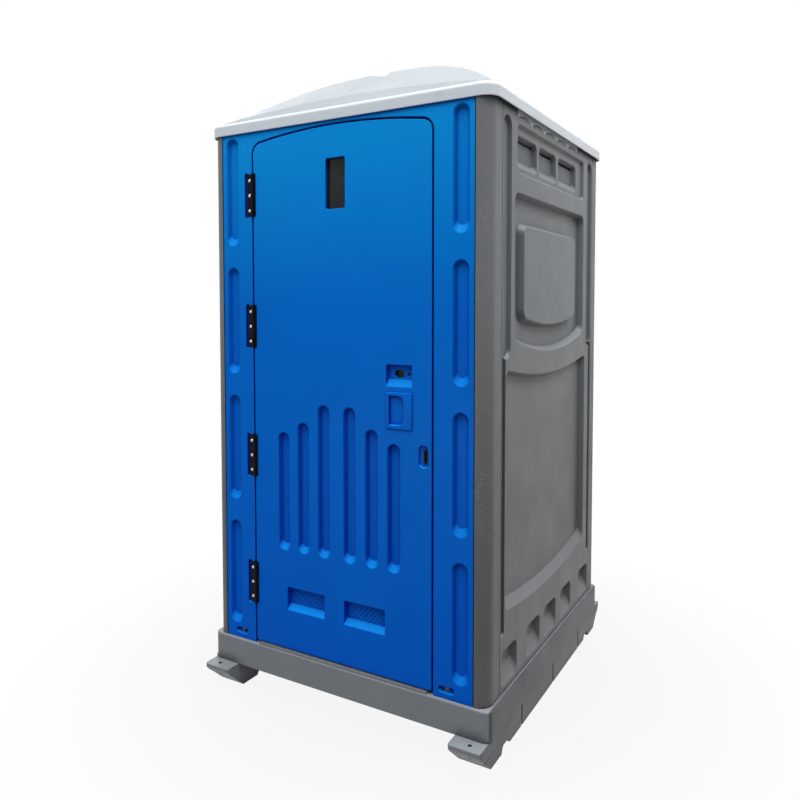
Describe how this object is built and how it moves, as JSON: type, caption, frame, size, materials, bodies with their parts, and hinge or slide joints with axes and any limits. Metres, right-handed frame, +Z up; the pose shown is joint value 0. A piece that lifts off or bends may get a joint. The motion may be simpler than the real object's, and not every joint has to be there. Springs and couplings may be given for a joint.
{
  "type": "portable toilet cabin",
  "caption": "Single portable toilet cabin on skids with an arched hinged door, ribbed side walls, domed translucent roof, waste tank with seat, urinal and hand basin.",
  "frame": {"origin": "middle of the footprint at the ground under the skids", "axes": "+Z up, door in the -Y side, +X to the right seen from the front"},
  "size_m": [1.157, 1.378, 2.313],
  "materials": {
    "body_blue": "moulded polyethylene, light sheen",
    "wall_grey": "moulded polyethylene, fine grain",
    "base_grey": "moulded polyethylene, fine grain",
    "roof_white": "translucent moulded polyethylene",
    "strip_white": "moulded polyethylene",
    "hinge_black": "black powder coat",
    "steel": "bright",
    "zinc": "zinc plated",
    "pane": "dark tinted",
    "black_plastic": "fine grain",
    "sill_grey": "textured tread",
    "knob_grey": "smooth",
    "tank_grey": "moulded polyethylene",
    "seat_white": "smooth",
    "pipe_grey": "extruded pipe",
    "hose_grey": "smooth hose",
    "chrome": "polished",
    "mirror": "silvered sheet",
    "paper": "soft tissue"
  },
  "bodies": {
    "cabin": {"base_tray": "base_grey", "skid_left": "base_grey", "skid_right": "base_grey", "skid_bolts": "zinc", "post_front_left": "wall_grey", "post_front_right": "wall_grey", "post_rear_left": "wall_grey", "post_rear_right": "wall_grey", "shell_rivets": "steel", "side_wall_left": "wall_grey", "side_wall_right": "wall_grey", "vent_strip_left": "strip_white", "vent_strip_right": "strip_white", "rear_wall": "wall_grey", "front_frame": "body_blue", "frame_bolts": "zinc", "frame_hinge_leaves": "hinge_black", "hinge_pins": "hinge_black", "frame_hinge_rivets": "steel", "latch_keeper": "zinc", "keeper_screws": "steel", "door_sill": "sill_grey", "roof": "roof_white", "waste_tank": "tank_grey", "seat_chute": "tank_grey", "seat_hinge": "black_plastic", "vent_pipe": "pipe_grey", "vent_cap": "pipe_grey", "urinal": "seat_white", "urinal_hose": "hose_grey", "water_tank": "tank_grey", "basin": "seat_white", "basin_hose": "hose_grey", "faucet": "chrome", "mirror_tray": "black_plastic", "mirror": "mirror", "paper_holder": "black_plastic", "foot_pump": "black_plastic", "pump_pipe": "pipe_grey"},
    "door": {"door_panel": "body_blue", "door_hinge_leaves": "hinge_black", "door_hinge_rivets": "steel", "window_pane": "pane", "window_frame": "black_plastic", "pull_plate": "body_blue", "hasp_insert": "black_plastic", "release_screw": "knob_grey", "latch_case": "black_plastic", "case_screws": "steel", "inner_handle": "black_plastic", "coat_hook": "black_plastic"},
    "latch_turn": {"latch_knob": "knob_grey"},
    "latch_slide": {"latch_bolt": "knob_grey"},
    "seat": {"seat_ring": "seat_white"},
    "lid": {"seat_lid": "seat_white"},
    "pedal": {"pump_pedal": "black_plastic"},
    "roll": {"paper_roll": "paper"}
  },
  "joints": [
    {"name": "door_swing", "type": "hinge", "parent": "cabin", "child": "door", "pos_m": [-0.3705, -0.621, 1.147], "axis": [0, 0, -1], "range_deg": [0, 110]},
    {"name": "latch_turning", "type": "hinge", "parent": "door", "child": "latch_turn", "pos_m": [0.241, -0.575, 1.239], "axis": [0, 1, 0], "range_deg": [0, 90]},
    {"name": "latch_sliding", "type": "slide", "parent": "door", "child": "latch_slide", "axis": [1, 0, 0], "range_m": [0, 0.022]},
    {"name": "seat_lift", "type": "hinge", "parent": "cabin", "child": "seat", "pos_m": [0, 0.515, 0.64], "axis": [-1, 0, 0], "range_deg": [0, 95]},
    {"name": "lid_lift", "type": "hinge", "parent": "cabin", "child": "lid", "pos_m": [0, 0.515, 0.64], "axis": [-1, 0, 0], "range_deg": [-95, 0]},
    {"name": "pedal_press", "type": "hinge", "parent": "cabin", "child": "pedal", "pos_m": [0.201, -0.24, 0.225], "axis": [-1, 0, 0], "range_deg": [0, 9], "stiffness_Nm_per_rad": 2, "springref_deg": -11.46},
    {"name": "roll_spin", "type": "hinge", "parent": "cabin", "child": "roll", "pos_m": [-0.456, 0.25, 0.9], "axis": [0, 1, 0], "continuous": true}
  ],
  "couplings": [
    {"joint": "latch_sliding", "follows": "latch_turning", "m_per_rad": 0.014}
  ]
}
